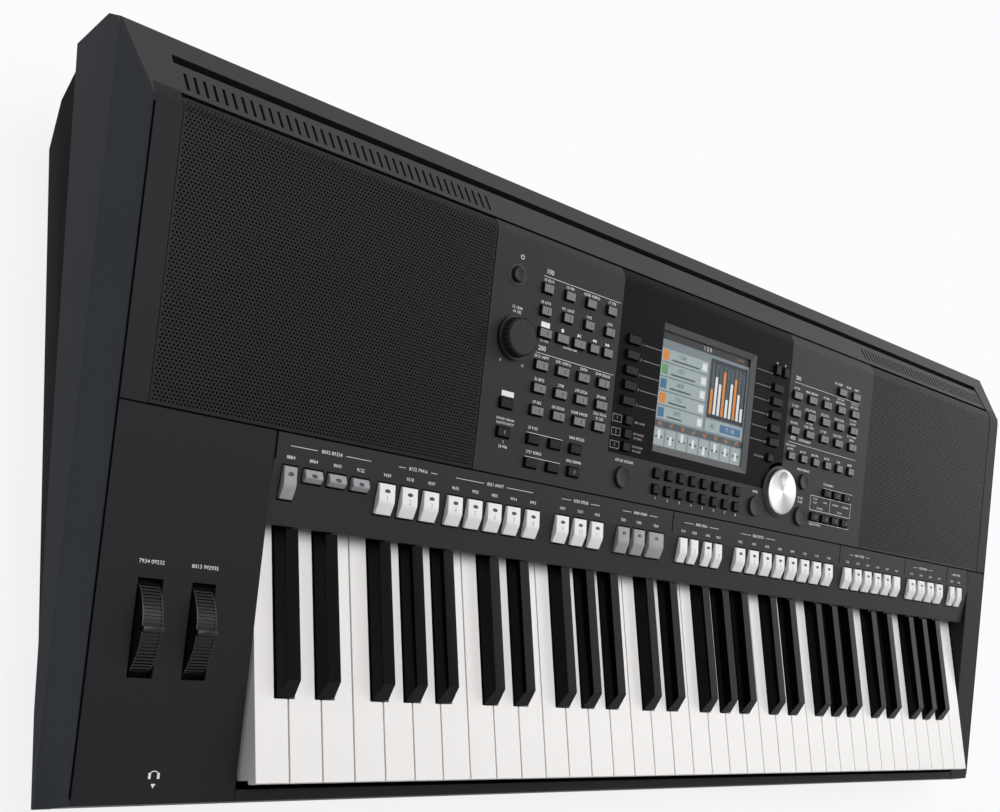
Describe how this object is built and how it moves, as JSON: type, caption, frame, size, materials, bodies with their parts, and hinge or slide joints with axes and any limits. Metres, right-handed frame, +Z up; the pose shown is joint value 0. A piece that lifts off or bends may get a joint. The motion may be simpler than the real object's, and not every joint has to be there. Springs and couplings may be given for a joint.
{
  "type": "arranger keyboard",
  "caption": "Portable electronic keyboard with a sprung piano-style manual, bender wheels, push-button panel around a tilted screen, data dial and built-in speakers.",
  "frame": {"origin": "under the middle of the case, on the plane its feet stand on", "axes": "+X to the high keys, +Y to the rear, +Z up"},
  "size_m": [1.002, 0.437, 0.148],
  "materials": {
    "case_charcoal": "fine texture",
    "case_black": "fine texture",
    "display_black": "satin",
    "grille_black": "perforated",
    "key_white": "satin",
    "key_black": "gloss",
    "button_grey": "satin",
    "button_pale": "satin",
    "button_white": "satin",
    "button_dark": "satin",
    "rubber_black": "matte",
    "silver_dial": "spun",
    "screen_glass": "clear",
    "screen_panel": "backlit",
    "board_green": "lacquered",
    "steel": "zinc",
    "felt_red": "felt",
    "socket_black": "moulded",
    "speaker_black": "paper cone"
  },
  "bodies": {
    "case": {"case_screws": "steel", "cheek_left": "case_charcoal", "cheek_right": "case_charcoal", "contact_board": "board_green", "contact_rubber": "rubber_black", "control_panel": "case_charcoal", "control_strip": "case_charcoal", "display_module": "screen_panel", "display_panel": "display_black", "display_window": "screen_glass", "end_block_left": "case_charcoal", "end_block_right": "case_charcoal", "key_felt": "felt_red", "key_frame": "case_black", "key_slip": "case_charcoal", "loudspeakers": "speaker_black", "lower_case": "case_black", "main_board": "board_green", "panel_boards": "board_green", "phones_jack": "socket_black", "power_inlet": "socket_black", "power_supply": "board_green", "rear_panel": "case_charcoal", "rear_sockets": "socket_black", "rotary_controls": "steel", "rubber_feet": "rubber_black", "speaker_grilles": "grille_black", "upper_case": "case_charcoal", "vent_panel": "case_charcoal", "wheel_bracket": "steel"},
    "keys_a": {"keys_a": "key_white"},
    "keys_as": {"keys_as": "key_black"},
    "keys_b": {"keys_b": "key_white"},
    "keys_c": {"keys_c": "key_white"},
    "keys_cs": {"keys_cs": "key_black"},
    "keys_d": {"keys_d": "key_white"},
    "keys_ds": {"keys_ds": "key_black"},
    "keys_e": {"keys_e": "key_white"},
    "keys_f": {"keys_f": "key_white"},
    "keys_fs": {"keys_fs": "key_black"},
    "keys_g": {"keys_g": "key_white"},
    "keys_gs": {"keys_gs": "key_black"},
    "song_buttons": {"song_buttons": "button_grey"},
    "style_buttons": {"style_buttons": "button_grey"},
    "tempo_buttons": {"tempo_buttons": "button_dark"},
    "display_buttons": {"display_buttons": "button_dark"},
    "mixer_buttons": {"mixer_buttons": "button_dark"},
    "voice_buttons": {"voice_buttons": "button_grey"},
    "part_buttons": {"part_buttons": "button_dark"},
    "page_buttons": {"page_buttons": "button_dark"},
    "power_button": {"power_button": "button_dark"},
    "start_buttons": {"start_buttons": "button_pale"},
    "section_buttons": {"section_buttons": "button_white"},
    "pad_buttons": {"pad_buttons": "button_white"},
    "memory_buttons": {"memory_buttons": "button_white"},
    "touch_buttons": {"touch_buttons": "button_white"},
    "pitch_wheel": {"pitch_wheel": "rubber_black"},
    "modulation_wheel": {"modulation_wheel": "rubber_black"},
    "volume_knob": {"volume_knob": "button_dark"},
    "data_dial": {"data_dial": "silver_dial"}
  },
  "joints": [
    {"name": "keys_a_hinge", "type": "hinge", "parent": "case", "child": "keys_a", "pos_m": [0, 0.005, 0.0677], "axis": [1, 0, 0], "range_deg": [0, 2.67], "stiffness_Nm_per_rad": 6, "springref_deg": -14.32},
    {"name": "keys_as_hinge", "type": "hinge", "parent": "case", "child": "keys_as", "pos_m": [0, 0.005, 0.0677], "axis": [1, 0, 0], "range_deg": [0, 2.67], "stiffness_Nm_per_rad": 6, "springref_deg": -14.32},
    {"name": "keys_b_hinge", "type": "hinge", "parent": "case", "child": "keys_b", "pos_m": [0, 0.005, 0.0677], "axis": [1, 0, 0], "range_deg": [0, 2.67], "stiffness_Nm_per_rad": 6, "springref_deg": -14.32},
    {"name": "keys_c_hinge", "type": "hinge", "parent": "case", "child": "keys_c", "pos_m": [0, 0.005, 0.0677], "axis": [1, 0, 0], "range_deg": [0, 2.67], "stiffness_Nm_per_rad": 6, "springref_deg": -14.32},
    {"name": "keys_cs_hinge", "type": "hinge", "parent": "case", "child": "keys_cs", "pos_m": [0, 0.005, 0.0677], "axis": [1, 0, 0], "range_deg": [0, 2.67], "stiffness_Nm_per_rad": 6, "springref_deg": -14.32},
    {"name": "keys_d_hinge", "type": "hinge", "parent": "case", "child": "keys_d", "pos_m": [0, 0.005, 0.0677], "axis": [1, 0, 0], "range_deg": [0, 2.67], "stiffness_Nm_per_rad": 6, "springref_deg": -14.32},
    {"name": "keys_ds_hinge", "type": "hinge", "parent": "case", "child": "keys_ds", "pos_m": [0, 0.005, 0.0677], "axis": [1, 0, 0], "range_deg": [0, 2.67], "stiffness_Nm_per_rad": 6, "springref_deg": -14.32},
    {"name": "keys_e_hinge", "type": "hinge", "parent": "case", "child": "keys_e", "pos_m": [0, 0.005, 0.0677], "axis": [1, 0, 0], "range_deg": [0, 2.67], "stiffness_Nm_per_rad": 6, "springref_deg": -14.32},
    {"name": "keys_f_hinge", "type": "hinge", "parent": "case", "child": "keys_f", "pos_m": [0, 0.005, 0.0677], "axis": [1, 0, 0], "range_deg": [0, 2.67], "stiffness_Nm_per_rad": 6, "springref_deg": -14.32},
    {"name": "keys_fs_hinge", "type": "hinge", "parent": "case", "child": "keys_fs", "pos_m": [0, 0.005, 0.0677], "axis": [1, 0, 0], "range_deg": [0, 2.67], "stiffness_Nm_per_rad": 6, "springref_deg": -14.32},
    {"name": "keys_g_hinge", "type": "hinge", "parent": "case", "child": "keys_g", "pos_m": [0, 0.005, 0.0677], "axis": [1, 0, 0], "range_deg": [0, 2.67], "stiffness_Nm_per_rad": 6, "springref_deg": -14.32},
    {"name": "keys_gs_hinge", "type": "hinge", "parent": "case", "child": "keys_gs", "pos_m": [0, 0.005, 0.0677], "axis": [1, 0, 0], "range_deg": [0, 2.67], "stiffness_Nm_per_rad": 6, "springref_deg": -14.32},
    {"name": "song_buttons_press", "type": "slide", "parent": "case", "child": "song_buttons", "axis": [0, 0.2305, -0.9731], "range_m": [0, 0.0012], "stiffness_N_per_m": 1500, "springref_m": -0.002},
    {"name": "style_buttons_press", "type": "slide", "parent": "case", "child": "style_buttons", "axis": [0, 0.2305, -0.9731], "range_m": [0, 0.0012], "stiffness_N_per_m": 1500, "springref_m": -0.002},
    {"name": "tempo_buttons_press", "type": "slide", "parent": "case", "child": "tempo_buttons", "axis": [0, 0.2305, -0.9731], "range_m": [0, 0.0012], "stiffness_N_per_m": 1500, "springref_m": -0.002},
    {"name": "display_buttons_press", "type": "slide", "parent": "case", "child": "display_buttons", "axis": [0, 0.2305, -0.9731], "range_m": [0, 0.0012], "stiffness_N_per_m": 1500, "springref_m": -0.002},
    {"name": "mixer_buttons_press", "type": "slide", "parent": "case", "child": "mixer_buttons", "axis": [0, 0.2305, -0.9731], "range_m": [0, 0.0012], "stiffness_N_per_m": 1500, "springref_m": -0.002},
    {"name": "voice_buttons_press", "type": "slide", "parent": "case", "child": "voice_buttons", "axis": [0, 0.2305, -0.9731], "range_m": [0, 0.0012], "stiffness_N_per_m": 1500, "springref_m": -0.002},
    {"name": "part_buttons_press", "type": "slide", "parent": "case", "child": "part_buttons", "axis": [0, 0.2305, -0.9731], "range_m": [0, 0.0012], "stiffness_N_per_m": 1500, "springref_m": -0.002},
    {"name": "page_buttons_press", "type": "slide", "parent": "case", "child": "page_buttons", "axis": [0, 0.2305, -0.9731], "range_m": [0, 0.0012], "stiffness_N_per_m": 1500, "springref_m": -0.002},
    {"name": "power_button_press", "type": "slide", "parent": "case", "child": "power_button", "axis": [0, 0.2305, -0.9731], "range_m": [0, 0.0012], "stiffness_N_per_m": 1500, "springref_m": -0.002},
    {"name": "start_buttons_press", "type": "slide", "parent": "case", "child": "start_buttons", "axis": [0, 0.3376, -0.9413], "range_m": [0, 0.0012], "stiffness_N_per_m": 1500, "springref_m": -0.002},
    {"name": "section_buttons_press", "type": "slide", "parent": "case", "child": "section_buttons", "axis": [0, 0.3376, -0.9413], "range_m": [0, 0.0012], "stiffness_N_per_m": 1500, "springref_m": -0.002},
    {"name": "pad_buttons_press", "type": "slide", "parent": "case", "child": "pad_buttons", "axis": [0, 0.3376, -0.9413], "range_m": [0, 0.0012], "stiffness_N_per_m": 1500, "springref_m": -0.002},
    {"name": "memory_buttons_press", "type": "slide", "parent": "case", "child": "memory_buttons", "axis": [0, 0.3376, -0.9413], "range_m": [0, 0.0012], "stiffness_N_per_m": 1500, "springref_m": -0.002},
    {"name": "touch_buttons_press", "type": "slide", "parent": "case", "child": "touch_buttons", "axis": [0, 0.3376, -0.9413], "range_m": [0, 0.0012], "stiffness_N_per_m": 1500, "springref_m": -0.002},
    {"name": "pitch_wheel_turn", "type": "hinge", "parent": "case", "child": "pitch_wheel", "pos_m": [0, -0.11791, 0.05428], "axis": [1, 0, 0], "range_deg": [-35, 35], "stiffness_Nm_per_rad": 0.3},
    {"name": "modulation_wheel_turn", "type": "hinge", "parent": "case", "child": "modulation_wheel", "pos_m": [0, -0.11791, 0.05428], "axis": [1, 0, 0], "range_deg": [-35, 35]},
    {"name": "volume_knob_turn", "type": "hinge", "parent": "case", "child": "volume_knob", "pos_m": [-0.2145, 0.0874, 0.13167], "axis": [0, -0.2305, 0.9731], "range_deg": [-150, 150]},
    {"name": "data_dial_turn", "type": "hinge", "parent": "case", "child": "data_dial", "pos_m": [0.1076, 0.02764, 0.11752], "axis": [0, -0.2305, 0.9731], "continuous": true}
  ]
}
